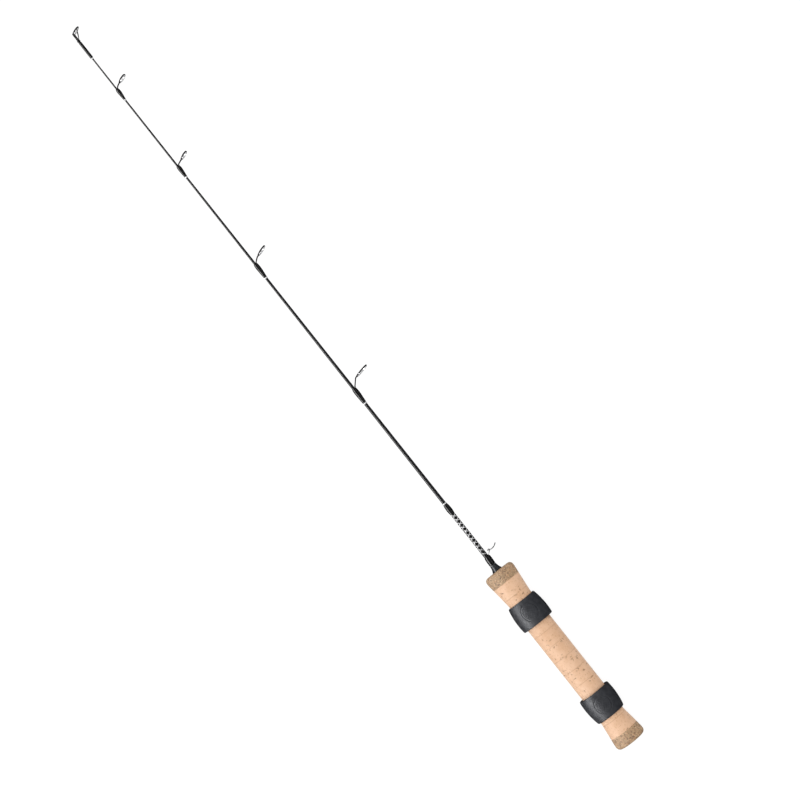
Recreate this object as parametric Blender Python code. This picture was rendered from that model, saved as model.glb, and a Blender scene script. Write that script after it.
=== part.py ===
import math

import bmesh
import bpy
from mathutils import Matrix, Vector

# An ice fishing rod lying on its side. Lengths are in metres.
# X runs up the rod from the butt's end face to the tip, along the blank's centre line.
# The line guides stand out towards -Y, Z is across them, and +Z is up.
# "Height" below is the distance from the centre line towards the guides.

MM = 0.001

# the blank: one solid taper, glued into the handle
ROD_LENGTH = 711 * MM
BLANK_BUTT_X = 10.4 * MM
BLANK_TIP_X = 705.3 * MM
BLANK_BUTT_RADIUS = 2.0 * MM
BLANK_TIP_RADIUS = 0.56 * MM

# the handle: a straight cork grip that flares out to a burl cork cap at each end
HANDLE_LENGTH = 166.1 * MM
GRIP_RADIUS = 10.5 * MM
CAP_RADIUS = 12.9 * MM
BUTT_CAP_LENGTH = 10.1 * MM
FRONT_CAP_LENGTH = 10.6 * MM
CAP_CORNER = 3.2 * MM
REAR_FLARE = (24.2 * MM, 4.8 * MM)  # where it starts, and where it is widest
FRONT_FLARE = (138.8 * MM, 161.2 * MM)
FLARE_CURVE = 1.05  # a straight cone is 1
CORK_DISCS = 12
GLUE_LINE = 0.05 * MM
GLUE_IN_BORE = 0.1 * MM

# the slip rings that clamp a reel's foot: barrels with their wide mouths facing each other
RING_LENGTH = 21.8 * MM
RING_MOUTH_RADIUS = 13.5 * MM
RING_BELLY_RADIUS = 14.0 * MM
RING_NECK_RADIUS = 12.25 * MM
RING_BELLY_AT = 7.5 * MM  # from the mouth
RING_LAND_AT = 10.4 * MM  # the bore is straight from here to the neck
RING_MOUTH_BORE = 12.0 * MM
RING_RUNNING_GAP = 0.1 * MM
RING_EDGE = 0.6 * MM
REAR_RING_MOUTH_X = 47.5 * MM
FRONT_RING_MOUTH_X = 115.2 * MM

# the windings in front of the handle
CHECK_X = (166.2 * MM, 171.8 * MM)
CHECK_RADII = (4.4 * MM, 2.75 * MM)
HOSEL_WRAP_X = (171.9 * MM, 179.8 * MM)
HOSEL_WRAP_RADIUS = 2.7 * MM
CROSS_WRAP_X = (180.6 * MM, 222.2 * MM)
CROSS_WRAP_RADIUS = 1.88 * MM
FORE_WRAP_X = (222.3 * MM, 231.4 * MM)
FORE_WRAP_RADIUS = 2.28 * MM
FORE_BAND_X = 231.5 * MM

# the folding hook keeper: a strap with its foot under the hosel wrap, and a ring through its eye
KEEPER_PIVOT = (182.8 * MM, 4.6 * MM)  # X and height of the ring's wire where it turns
KEEPER_WIRE = 0.4 * MM  # radius
KEEPER_RING_RADIUS = 3.7 * MM  # to the middle of the wire
KEEPER_RING_SAG = 1.1 * MM  # how far its sides bow back, so that it hugs the wrap when folded
KEEPER_RING_LEAN = 10  # degrees towards the tip
EYE_TURN = 0.82 * MM  # radius of the strap's middle line round the ring's wire
EYE_FROM = 147  # degrees, where the strap meets the turn and where it ends
EYE_TO = -138
STRAP_WIDTH = 1.5 * MM
STRAP_THICKNESS = 0.5 * MM
STRAP_FOOT = (0.9 * MM, 0.4 * MM)  # width and thickness at the end of the foot
STRAP_FOOT_INSET = 1.5 * MM  # from the hosel wrap's rear end
STRAP_FOOT_RAISED = 0.3 * MM  # middle of the foot over the blank
STRAP_BEND = 0.8 * MM
HOSEL_RAISED = 0.4 * MM  # how far the wrap's front end stands towards the guides

# the line guides, numbered from the tip: one foot each, under a wrap with a silver band behind it
# band start, wrap start, wrap end, ring's lowest point (X, height), ring diameter, lean, wrap radius
GUIDES = {
    1: (639.5, 640.7, 651.3, 653.9, 4.8, 8.2, 19, 1.62),
    2: (560.0, 561.2, 572.2, 574.3, 5.3, 8.2, 21, 1.76),
    3: (457.6, 458.9, 472.4, 475.9, 5.8, 9.9, 19, 1.95),
    4: (331.5, 332.9, 346.6, 352.6, 7.5, 12.4, 12, 2.15),
}
BAND_LENGTH = 1.1 * MM
BAND_THICKNESS = 0.3 * MM
FOOT_THICKNESS = 0.45 * MM
FOOT_FROM = 0.45  # share of its wrap's length where the foot starts
FOOT_WIDTH = 1.4 * MM
FOOT_TIP = (0.8 * MM, 0.3 * MM)  # width and thickness where it starts
LEG_THICKNESS = 0.95 * MM
LEG_TOP_WIDTH = 1.7 * MM
LEG_BEND_AHEAD = 0.45 * MM  # the leg turns up this far in front of its wrap
LEG_BEND = 0.9 * MM
LEG_JOINS_BELOW = 1.0 * MM  # the ring's lowest point
LEG_INTO_HOOP = 0.35 * MM
HOOP_WALL = 0.6 * MM  # radial
HOOP_DEPTH = 1.0 * MM  # along the ring's axis
INSERT_WALL = 0.65 * MM
INSERT_DEPTH = 1.3 * MM
INSERT_SHIFT = -0.15 * MM  # the insert stands proud on the side towards the butt
SEAT_GAP = 0.04 * MM
THREAD_GAP = 0.06 * MM  # between a winding and what it is wound on
THIN_COAT = 0.25 * MM  # where a guide's wrap runs out
COAT_OVER_BORE = 0.18 * MM  # least thickness over the foot

# the tip-top: a tube over the blank's tip, a ring at its end, and two braces back to a collar
TIP_RING_DIAMETER = 8.3 * MM
TIP_RING_LEAN = 20
TIP_RING_LOW = -0.8 * MM  # height of its lowest point
TIP_TURNED = 12  # degrees it is glued on out of line with the guides
TIP_TUBE_X = (696.0 * MM, 707.2 * MM)
TIP_TUBE_RADIUS = 1.0 * MM
TIP_COLLAR_X = (700.0 * MM, 701.6 * MM)
TIP_COLLAR_RADIUS = 1.35 * MM
TIP_COLLAR_EDGE = 0.1 * MM
TIP_BRACE_WIRE = 0.3 * MM
TIP_BRACE_AT = 72  # degrees down the ring from its top
TIP_BRACE_BOW = 0.9 * MM
TIP_BRACE_FOOT = (0.25 * MM, 1.32 * MM)  # height and distance from the middle, at the collar
TIP_BRACE_IN = 0.12 * MM  # the brace ends this far inside the hoop's outside
TIP_WRAP_X = (683.4 * MM, 699.4 * MM)
TIP_WRAP_RADIUS = 1.25 * MM
TIP_BAND_X = 682.2 * MM

# facets round each kind of piece
HANDLE_SIDES = 24
RING_SIDES = 28
THREAD_SIDES = 16
WIRE_SIDES = 8


def clear_scene():
    for old in list(bpy.data.objects):
        bpy.data.objects.remove(old, do_unlink=True)


def make_material(name, color, roughness, metallic=0.0):
    material = bpy.data.materials.new(name)
    material.use_nodes = True
    shader = material.node_tree.nodes["Principled BSDF"]
    shader.inputs["Base Color"].default_value = (*color, 1.0)
    shader.inputs["Roughness"].default_value = roughness
    shader.inputs["Metallic"].default_value = metallic
    return material


def add_object(name, bm, material=None, smooth_below=35):
    """Turns bm into a named object, with its faces outwards and round parts shaded smooth."""
    bmesh.ops.recalc_face_normals(bm, faces=bm.faces)
    mesh = bpy.data.meshes.new(name)
    bm.to_mesh(mesh)
    bm.free()
    mesh.shade_smooth()
    mesh.set_sharp_from_angle(angle=math.radians(smooth_below))
    if material:
        mesh.materials.append(material)
    obj = bpy.data.objects.new(name, mesh)
    bpy.context.scene.collection.objects.link(obj)
    return obj


def blank_radius(x):
    share = (x - BLANK_BUTT_X) / (BLANK_TIP_X - BLANK_BUTT_X)
    return BLANK_BUTT_RADIUS + share * (BLANK_TIP_RADIUS - BLANK_BUTT_RADIUS)


def grip_radius(x):
    """The handle's outside, without the caps' rounded corners."""
    for start, widest in (REAR_FLARE, FRONT_FLARE):
        share = (x - start) / (widest - start)
        if share > 0:
            return GRIP_RADIUS + (CAP_RADIUS - GRIP_RADIUS) * min(share, 1) ** FLARE_CURVE
    return GRIP_RADIUS


def bore_for(radius, sides):
    """The corner radius of a bore with flat sides that clears a round of this radius."""
    return radius / math.cos(math.pi / sides)


def turned(name, outline, sides, material, on_axis=False):
    """Spins an outline of (x, radius) points about X. It is closed unless its ends are on the axis."""
    bm = bmesh.new()
    verts = [bm.verts.new((x, radius, 0)) for x, radius in outline]
    pairs = list(zip(verts, verts[1:]))
    if not on_axis:
        pairs.append((verts[-1], verts[0]))
    edges = [bm.edges.new(pair) for pair in pairs]
    bmesh.ops.spin(
        bm, geom=verts + edges, cent=(0, 0, 0), axis=(1, 0, 0),
        angle=2 * math.pi, steps=sides, use_merge=True,
    )
    bmesh.ops.remove_doubles(bm, verts=bm.verts, dist=1e-7)
    return add_object(name, bm, material)


def lofted(name, rings, material=None, closed=False, smooth_below=35):
    """Skins a row of rings of points. A closed row joins its last ring to its first."""
    bm = bmesh.new()
    rows = [[bm.verts.new(point) for point in ring] for ring in rings]
    pairs = list(zip(rows, rows[1:]))
    if closed:
        pairs.append((rows[-1], rows[0]))
    for row, following in pairs:
        count = len(row)
        for i in range(count):
            j = (i + 1) % count
            bm.faces.new((row[i], row[j], following[j], following[i]))
    if not closed:
        bm.faces.new(rows[0])
        bm.faces.new(rows[-1])
    return add_object(name, bm, material, smooth_below)


def point_at(x, height, z=0.0):
    return Vector((x, -height, z))


def circle_across(x, height, radius, sides):
    """A ring of points round the rod, at X, with its centre raised towards the guides."""
    return [
        point_at(x, height + radius * math.cos(a), radius * math.sin(a))
        for a in (2 * math.pi * k / sides for k in range(sides))
    ]


def eased(share):
    return share * share * (3 - 2 * share)


def rounded_path(corners, cut, steps=4):
    """A path through these corners, each one cut back and rounded by a curve."""
    most = 0.45  # share of a straight run that a rounding may take
    path = [corners[0]]
    for before, corner, after in zip(corners, corners[1:], corners[2:]):
        start = corner + (before - corner).normalized() * min(cut, (before - corner).length * most)
        end = corner + (after - corner).normalized() * min(cut, (after - corner).length * most)
        for k in range(steps + 1):
            t = k / steps
            path.append(start * (1 - t) ** 2 + corner * 2 * t * (1 - t) + end * t * t)
    path.append(corners[-1])
    return path


def swept(name, path, section, material=None):
    """Sweeps a section along a path. section(share) gives points (across Z, across the path)."""
    lengths = [0.0]
    for a, b in zip(path, path[1:]):
        lengths.append(lengths[-1] + (b - a).length)
    rings = []
    for i, point in enumerate(path):
        along = (path[min(i + 1, len(path) - 1)] - path[max(i - 1, 0)]).normalized()
        side = Vector((0, 0, 1))
        side = (side - along * side.dot(along)).normalized()
        up = along.cross(side)
        rings.append([point + side * u + up * v for u, v in section(lengths[i] / lengths[-1])])
    return lofted(name, rings, material)


def round_section(radius, sides=WIRE_SIDES):
    points = [
        (radius * math.cos(a), radius * math.sin(a))
        for a in (2 * math.pi * (k + 0.5) / sides for k in range(sides))
    ]
    return lambda share: points


def strip_section(widths, thicknesses):
    """A flat bar with chamfered edges, whose size runs smoothly through these values."""
    def value(values, share):
        place = share * (len(values) - 1)
        k = min(int(place), len(values) - 2)
        return values[k] + (values[k + 1] - values[k]) * eased(place - k)

    def section(share):
        w = value(widths, share) / 2
        t = value(thicknesses, share) / 2
        c = min(w, t) * 0.45  # chamfer
        return [
            (w, -t + c), (w, t - c), (w - c, t), (-w + c, t),
            (-w, t - c), (-w, -t + c), (-w + c, -t), (w - c, -t),
        ]
    return section


def join_solids(base, others):
    """Makes base one body with the others, which stay in the file as hidden guides."""
    for other in others:
        other.hide_render = True
        other.display_type = "WIRE"
        union = base.modifiers.new("join_" + other.name, "BOOLEAN")
        union.operation = "UNION"
        union.solver = "EXACT"
        union.object = other
    return base


def tent(blank, foot_top, foot_half_width):
    """Centre height and radius of the round bore that clears the blank and a foot lying on it."""
    low = blank + THREAD_GAP
    top = foot_top + THREAD_GAP
    side = foot_half_width + THREAD_GAP
    height = (side ** 2 + top ** 2 - low ** 2) / (2 * (top + low))
    return height, height + low


def winding(name, x_range, stations, material):
    """A thread winding from (share of length, bore height, bore radius, height, radius) stations."""
    x0, x1 = x_range
    outer = []
    inner = []
    for share, bore_height, bore_radius, height, radius in stations:
        x = x0 + share * (x1 - x0)
        outer.append(circle_across(x, height, radius, THREAD_SIDES))
        bore = bore_for(bore_radius, THREAD_SIDES)
        inner.append(circle_across(x, bore_height, bore, THREAD_SIDES))
    return lofted(name, outer + inner[::-1], material, closed=True)


def make_blank(material):
    outline = [(BLANK_BUTT_X, 0), (BLANK_BUTT_X, BLANK_BUTT_RADIUS)]
    outline += [(BLANK_TIP_X, BLANK_TIP_RADIUS), (BLANK_TIP_X, 0)]
    turned("blank", outline, THREAD_SIDES, material, on_axis=True)


def cap_corner(face_x, inwards, steps=4):
    """The rounded corner of a burl cap, from its flat face to its widest place."""
    centre_x = face_x + inwards * CAP_CORNER
    widest = grip_radius(centre_x)
    points = []
    for k in range(steps + 1):
        a = math.pi / 2 * k / steps
        x = centre_x - inwards * CAP_CORNER * math.cos(a)
        points.append((x, widest - CAP_CORNER * (1 - math.sin(a))))
    return points


def make_butt_cap(material):
    seam = BUTT_CAP_LENGTH - GLUE_LINE
    widest = REAR_FLARE[1]
    outline = [(0, 0)] + cap_corner(0, 1)
    outline += [(x, grip_radius(x)) for x in (widest, (widest + seam) / 2, seam)] + [(seam, 0)]
    turned("butt_burl_cap", outline, HANDLE_SIDES, material, on_axis=True)


def make_front_cap(material):
    seam = HANDLE_LENGTH - FRONT_CAP_LENGTH
    widest = FRONT_FLARE[1]
    bore = bore_for(blank_radius(seam) + GLUE_IN_BORE, HANDLE_SIDES)
    outline = [(seam, bore), (seam, grip_radius(seam))]
    outline += [((seam + widest) / 2, grip_radius((seam + widest) / 2)), (widest, CAP_RADIUS)]
    outline += cap_corner(HANDLE_LENGTH, -1)[::-1] + [(HANDLE_LENGTH, bore)]
    turned("front_burl_cap", outline, HANDLE_SIDES, material)


def make_cork_discs(material):
    start = BUTT_CAP_LENGTH
    pitch = (HANDLE_LENGTH - FRONT_CAP_LENGTH - start) / CORK_DISCS
    for n in range(CORK_DISCS):
        x0 = start + n * pitch
        x1 = x0 + pitch - GLUE_LINE
        bore = bore_for(blank_radius(x0) + GLUE_IN_BORE, HANDLE_SIDES)
        flared = grip_radius(x0) != grip_radius(x1)
        steps = 3 if flared else 1
        outline = [(x0, bore)]
        for k in range(steps + 1):
            x = x0 + (x1 - x0) * k / steps
            outline.append((x, grip_radius(x)))
        outline.append((x1, bore))
        turned(f"cork_disc_{n + 1:02d}", outline, HANDLE_SIDES, material)


def slip_ring_radius(from_mouth):
    """The barrel's outside: fullest a third of the way from its mouth."""
    if from_mouth < RING_BELLY_AT:
        share = 1 - from_mouth / RING_BELLY_AT
        return RING_BELLY_RADIUS - (RING_BELLY_RADIUS - RING_MOUTH_RADIUS) * share ** 2
    share = (from_mouth - RING_BELLY_AT) / (RING_LENGTH - RING_BELLY_AT)
    return RING_BELLY_RADIUS - (RING_BELLY_RADIUS - RING_NECK_RADIUS) * share ** 2


def make_slip_ring(name, mouth_x, away, material, steps=7):
    """away is +1 where the ring runs from its mouth towards the tip, and -1 towards the butt."""
    land = GRIP_RADIUS + RING_RUNNING_GAP
    profile = [(0, slip_ring_radius(0) - RING_EDGE)]
    for k in range(steps + 1):
        d = RING_EDGE + (RING_LENGTH - 2 * RING_EDGE) * k / steps
        profile.append((d, slip_ring_radius(d)))
    profile.append((RING_LENGTH, slip_ring_radius(RING_LENGTH) - RING_EDGE))
    profile += [(RING_LENGTH, land + RING_EDGE / 2), (RING_LENGTH - RING_EDGE / 2, land)]
    profile += [(RING_LAND_AT, land), (RING_EDGE / 2, RING_MOUTH_BORE)]
    profile.append((0, RING_MOUTH_BORE + RING_EDGE / 2))
    outline = [(away * d, radius) for d, radius in profile]
    ring = turned(name, outline, HANDLE_SIDES, material)
    ring.location = (mouth_x, 0, 0)


def make_check(material, steps=5):
    """The flared cone that closes the gap between the handle and the first winding."""
    x0, x1 = CHECK_X
    wide, narrow = CHECK_RADII
    bore = bore_for(blank_radius(x0) + THREAD_GAP, HANDLE_SIDES)
    outline = [(x0, bore)]
    for k in range(steps + 1):
        share = k / steps
        outline.append((x0 + (x1 - x0) * share, narrow + (wide - narrow) * (1 - share) ** 2))
    outline.append((x1, bore))
    turned("winding_check", outline, HANDLE_SIDES, material)


def make_fore_windings(thread, silver, pattern):
    x0, x1 = CROSS_WRAP_X
    bore = blank_radius(x0) + THREAD_GAP
    sleeve = [(share, 0, bore, 0, CROSS_WRAP_RADIUS) for share in (0, 1)]
    winding("cross_wrap", CROSS_WRAP_X, sleeve, pattern)
    bore = blank_radius(FORE_WRAP_X[0]) + THREAD_GAP
    swell = []
    for share in (0, 0.15, 0.4, 0.7, 0.9, 1):
        end = CROSS_WRAP_RADIUS * (1 - 0.05 * share)
        full = math.sin(math.pi * share) ** 0.8
        swell.append((share, 0, bore, 0, end + (FORE_WRAP_RADIUS - end) * full))
    winding("fore_wrap", FORE_WRAP_X, swell, thread)
    make_band("fore_band", FORE_BAND_X, silver)


def make_band(name, x, material):
    bore = blank_radius(x) + THREAD_GAP
    outside = bore + BAND_THICKNESS
    ends = outside - BAND_THICKNESS / 3
    stations = [(0, 0, bore, 0, ends), (0.25, 0, bore, 0, outside)]
    stations += [(0.75, 0, bore, 0, outside), (1, 0, bore, 0, ends)]
    winding(name, (x, x + BAND_LENGTH), stations, material)


def foot_height(x):
    return blank_radius(x) + THREAD_GAP + FOOT_THICKNESS / 2


def make_guide_wrap(number, material):
    """A wrap that is fullest over the foot and runs out thin towards the butt."""
    _, start, end, *_, radius = GUIDES[number]
    x0, x1, radius = start * MM, end * MM, radius * MM
    straight = blank_radius(x0) + THREAD_GAP
    foot_top = foot_height(x0) + FOOT_THICKNESS * 0.9
    height, bore = tent(blank_radius(x0), foot_top, FOOT_WIDTH / 2)
    thin = straight + THIN_COAT
    low_side = bore - height + COAT_OVER_BORE
    high_side = bore + height + COAT_OVER_BORE
    off_centre = 0.18 * MM  # the fullest place leans towards the guide
    stations = [(0, 0, straight, 0, thin), (0.2, 0, straight, 0, thin + 0.35 * (radius - thin))]
    for share, full in ((FOOT_FROM - 0.07, 0.55), (0.55, 0.88), (0.7, 1), (0.86, 0.85), (1, 0)):
        low = low_side + (radius - off_centre - low_side) * full
        high = high_side + max(0, radius + off_centre - high_side) * full
        stations.append((share, height, bore, (high - low) / 2, (high + low) / 2))
    winding(f"guide_{number}_wrap", (x0, x1), stations, material)


def hoop_outline(outer):
    """The section of a guide's hoop as (along its axis, radius) points."""
    half = HOOP_DEPTH / 2
    inner = outer - HOOP_WALL
    chamfer = HOOP_WALL / 3
    return [
        (-half, inner), (-half, outer - chamfer), (-half + chamfer, outer),
        (half - chamfer, outer), (half, outer - chamfer), (half, inner),
    ]


def insert_outline(outer):
    """The section of the polished insert: flat where it sits in the hoop, rounded for the line."""
    half = INSERT_DEPTH / 2
    section = (
        (-0.7, 0), (0.7, 0), (1, 0.3), (0.9, 0.7), (0.4, 1), (-0.4, 1), (-0.9, 0.7), (-1, 0.3),
    )
    return [(INSERT_SHIFT + half * along, outer - INSERT_WALL * deep) for along, deep in section]


def stand_ring(obj, low_x, low_height, radius, lean, turned_by=0):
    """Puts a ring built round X at the origin on its lowest point, leaning towards the tip."""
    lean = math.radians(lean)
    centre = point_at(low_x + radius * math.sin(lean), low_height + radius * math.cos(lean))
    turn = Matrix.Rotation(math.radians(turned_by), 4, "X")
    obj.matrix_world = turn @ Matrix.Translation(centre) @ Matrix.Rotation(lean, 4, "Z")


def make_guide_frame(number, metal, bright):
    _, start, end, low_x, low_height, diameter, lean, _ = GUIDES[number]
    x0, x1, low_x, low_height = start * MM, end * MM, low_x * MM, low_height * MM
    radius = diameter * MM / 2
    hoop = turned(f"guide_{number}_hoop", hoop_outline(radius), RING_SIDES, metal)
    stand_ring(hoop, low_x, low_height, radius, lean)
    seat = radius - HOOP_WALL - SEAT_GAP
    insert = turned(f"guide_{number}_insert", insert_outline(seat), RING_SIDES, bright)
    stand_ring(insert, low_x, low_height, radius, lean)
    # the leg: a foot along the blank, a rise to the ring, and a short stretch in the ring's plane
    up_ring = Vector((math.sin(math.radians(lean)), -math.cos(math.radians(lean)), 0))
    low = point_at(low_x, low_height)
    height = foot_height(x0)
    corners = [point_at(x0 + FOOT_FROM * (x1 - x0), height), point_at(x1 + LEG_BEND_AHEAD, height)]
    corners += [low - up_ring * LEG_JOINS_BELOW, low + up_ring * LEG_INTO_HOOP]
    path = rounded_path(corners, LEG_BEND)
    widths = (FOOT_TIP[0], FOOT_WIDTH, FOOT_WIDTH, FOOT_WIDTH, LEG_TOP_WIDTH)
    thicknesses = (FOOT_TIP[1], FOOT_THICKNESS, FOOT_THICKNESS, LEG_THICKNESS, LEG_THICKNESS)
    leg = swept(f"guide_{number}_frame", path, strip_section(widths, thicknesses), metal)
    join_solids(leg, [hoop])


def make_guides(metal, bright, thread, silver):
    for number, (band_x, *_) in GUIDES.items():
        make_guide_frame(number, metal, bright)
        make_guide_wrap(number, thread)
        make_band(f"guide_{number}_band", band_x * MM, silver)


def make_tip_top(metal, bright, thread, silver):
    radius = TIP_RING_DIAMETER / 2
    lean = math.radians(TIP_RING_LEAN)
    low_x = ROD_LENGTH - 2 * radius * math.sin(lean) - HOOP_DEPTH / 2 * math.cos(lean)
    frame = turned("tip_top_frame", hoop_outline(radius), RING_SIDES, metal)
    stand_ring(frame, low_x, TIP_RING_LOW, radius, TIP_RING_LEAN, TIP_TURNED)
    seat = radius - HOOP_WALL - SEAT_GAP
    insert = turned("tip_top_insert", insert_outline(seat), RING_SIDES, bright)
    stand_ring(insert, low_x, TIP_RING_LOW, radius, TIP_RING_LEAN, TIP_TURNED)

    tube_bore = bore_for(blank_radius(TIP_TUBE_X[0]) + THREAD_GAP, THREAD_SIDES)
    tube = [(x, r) for x in TIP_TUBE_X for r in (tube_bore, TIP_TUBE_RADIUS)]
    tube[2], tube[3] = tube[3], tube[2]
    turned("tip_top_tube", tube, THREAD_SIDES, metal)

    collar_bore = bore_for(TIP_TUBE_RADIUS + SEAT_GAP, THREAD_SIDES)
    x0, x1 = TIP_COLLAR_X
    edge = TIP_COLLAR_RADIUS - TIP_COLLAR_EDGE
    collar_outline = [(x0, collar_bore), (x0, edge)]
    collar_outline += [(x, TIP_COLLAR_RADIUS) for x in (x0 + 3 * TIP_COLLAR_EDGE, x1 - 3 * TIP_COLLAR_EDGE)]
    collar_outline += [(x1, edge), (x1, collar_bore)]
    collar = turned("tip_top_collar", collar_outline, THREAD_SIDES, metal)
    braces = [make_tip_brace(side, low_x, metal) for side in (-1, 1)]
    join_solids(frame, [collar] + braces)
    make_tip_wrap(thread)
    make_band("tip_top_band", TIP_BAND_X, silver)


def make_tip_wrap(material):
    """A winding that starts on the bare blank and ends over the tip-top's tube."""
    x0, x1 = TIP_WRAP_X
    on_blank = blank_radius(x0) + THREAD_GAP
    over_tube = TIP_TUBE_RADIUS + THREAD_GAP
    tube_at = (TIP_TUBE_X[0] - x0) / (x1 - x0)  # share of the wrap's length
    full = TIP_WRAP_RADIUS
    stations = [(0, 0, on_blank, 0, 0.8 * full), (0.06, 0, on_blank, 0, 0.93 * full)]
    stations += [(tube_at - 0.1, 0, on_blank, 0, full), (tube_at - 0.03, 0, over_tube, 0, full)]
    stations.append((1, 0, over_tube, 0, 0.98 * full))
    winding("tip_top_wrap", TIP_WRAP_X, stations, material)


def make_tip_brace(side, low_x, metal, steps=8):
    """A wire from the collar's side up to the tip ring's side, bowed a little upwards."""
    radius = TIP_RING_DIAMETER / 2
    lean = math.radians(TIP_RING_LEAN)
    at = math.radians(TIP_BRACE_AT)
    reach = radius - TIP_BRACE_IN
    up = radius + reach * math.cos(at)
    top_height = TIP_RING_LOW + up * math.cos(lean)
    top = point_at(low_x + up * math.sin(lean), top_height, side * reach * math.sin(at))
    foot_height_here, aside = TIP_BRACE_FOOT
    foot = point_at(sum(TIP_COLLAR_X) / 2, foot_height_here, side * aside)
    middle = (top + foot) / 2 + point_at(0, TIP_BRACE_BOW)
    middle.z = 0.92 * top.z  # the wires spread early, so that they clear the insert
    path = []
    for k in range(steps + 1):
        t = k / steps
        path.append(foot * (1 - t) ** 2 + middle * 2 * t * (1 - t) + top * t * t)
    turn = Matrix.Rotation(math.radians(TIP_TURNED), 4, "X")
    name = "tip_brace_low" if side < 0 else "tip_brace_high"
    return swept(name, [turn @ point for point in path], round_section(TIP_BRACE_WIRE), metal)


def make_keeper_bracket(metal, steps=14):
    """One strap: a narrow foot on the blank, then a rise and a turn round the ring's wire."""
    pivot_x, pivot_height = KEEPER_PIVOT
    foot_x = HOSEL_WRAP_X[0] + STRAP_FOOT_INSET
    height = blank_radius(foot_x) + THREAD_GAP + STRAP_FOOT_RAISED
    turn = []
    for k in range(steps + 1):
        a = math.radians(EYE_FROM + (EYE_TO - EYE_FROM) * k / steps)
        turn.append(point_at(pivot_x + EYE_TURN * math.cos(a), pivot_height + EYE_TURN * math.sin(a)))
    rise_x = HOSEL_WRAP_X[1] + THREAD_GAP
    before = [point_at(foot_x, height), point_at(rise_x, height), turn[0]]
    path = rounded_path(before, STRAP_BEND)[:-1] + turn
    foot_wide, foot_thick = STRAP_FOOT
    widths = [foot_wide] * 2 + [STRAP_WIDTH] * 3
    thicknesses = [foot_thick] + [STRAP_THICKNESS] * 4
    swept("keeper_bracket", path, strip_section(widths, thicknesses), metal)


def make_keeper_ring(metal, turns=32):
    """A loose ring, bowed back at its sides, hanging on the joint's axis at its lowest point."""
    rings = []
    for k in range(turns):
        a = 2 * math.pi * k / turns
        outward = Vector((0, -math.cos(a), math.sin(a)))
        z = KEEPER_RING_RADIUS * math.sin(a)
        bow = -KEEPER_RING_SAG * (z / KEEPER_RING_RADIUS) ** 2
        centre = outward * KEEPER_RING_RADIUS + Vector((bow, -KEEPER_RING_RADIUS, 0))
        rings.append([
            centre + outward * KEEPER_WIRE * math.cos(b) + Vector((KEEPER_WIRE * math.sin(b), 0, 0))
            for b in (2 * math.pi * (s + 0.5) / WIRE_SIDES for s in range(WIRE_SIDES))
        ])
    ring = lofted("keeper_ring", rings, metal, closed=True, smooth_below=60)
    axle = bpy.data.objects.new("keeper_axle", None)
    bpy.context.scene.collection.objects.link(axle)
    axle.location = point_at(*KEEPER_PIVOT)
    axle.rotation_euler = (0, 0, math.radians(KEEPER_RING_LEAN))
    ring.parent = axle


def make_hosel_wrap(material):
    """The winding over the keeper's foot, raised over it at the front end."""
    x0 = HOSEL_WRAP_X[0]
    straight = blank_radius(x0) + THREAD_GAP
    foot_top = straight + STRAP_FOOT_RAISED + STRAP_THICKNESS
    height, bore = tent(blank_radius(x0), foot_top, STRAP_FOOT[0] / 2)
    full = HOSEL_WRAP_RADIUS
    # share of its length, share of the raise, radius
    shape = ((0.18, 0.12, full), (0.6, 0.25, full), (0.85, 0.75, 0.98 * full), (1, 1, 0.9 * full))
    stations = [(0, 0, straight, 0, 0.96 * full), (0.12, 0, straight, 0, full)]
    stations += [(share, height, bore, raised * HOSEL_RAISED, radius) for share, raised, radius in shape]
    winding("hosel_wrap", HOSEL_WRAP_X, stations, material)


def main():
    clear_scene()
    carbon = make_material("carbon", (0.012, 0.012, 0.013), 0.18)
    thread = make_material("black_thread", (0.008, 0.008, 0.009), 0.15)
    pattern = make_material("cross_thread", (0.06, 0.06, 0.065), 0.25)
    silver = make_material("silver_thread", (0.72, 0.72, 0.74), 0.3, 0.9)
    frame_metal = make_material("black_frame", (0.02, 0.02, 0.022), 0.3, 0.6)
    bright = make_material("polished_insert", (0.75, 0.75, 0.77), 0.12, 1.0)
    wire = make_material("steel_wire", (0.55, 0.55, 0.56), 0.25, 1.0)
    cork = make_material("cork", (0.62, 0.43, 0.26), 0.8)
    burl = make_material("burl_cork", (0.36, 0.26, 0.16), 0.85)
    rubber = make_material("slip_ring_rubber", (0.03, 0.032, 0.035), 0.6)
    cone = make_material("check_rubber", (0.015, 0.017, 0.02), 0.4)

    make_blank(carbon)
    make_butt_cap(burl)
    make_cork_discs(cork)
    make_front_cap(burl)
    make_slip_ring("rear_slip_ring", REAR_RING_MOUTH_X, -1, rubber)
    make_slip_ring("front_slip_ring", FRONT_RING_MOUTH_X, 1, rubber)
    make_check(cone)
    make_hosel_wrap(thread)
    make_keeper_bracket(wire)
    make_keeper_ring(wire)
    make_fore_windings(thread, silver, pattern)
    make_guides(frame_metal, bright, thread, silver)
    make_tip_top(frame_metal, bright, thread, silver)


main()
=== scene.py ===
import itertools
import math
import random

import bmesh
import bpy
import numpy as np
from mathutils import Matrix, Vector, noise


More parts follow.
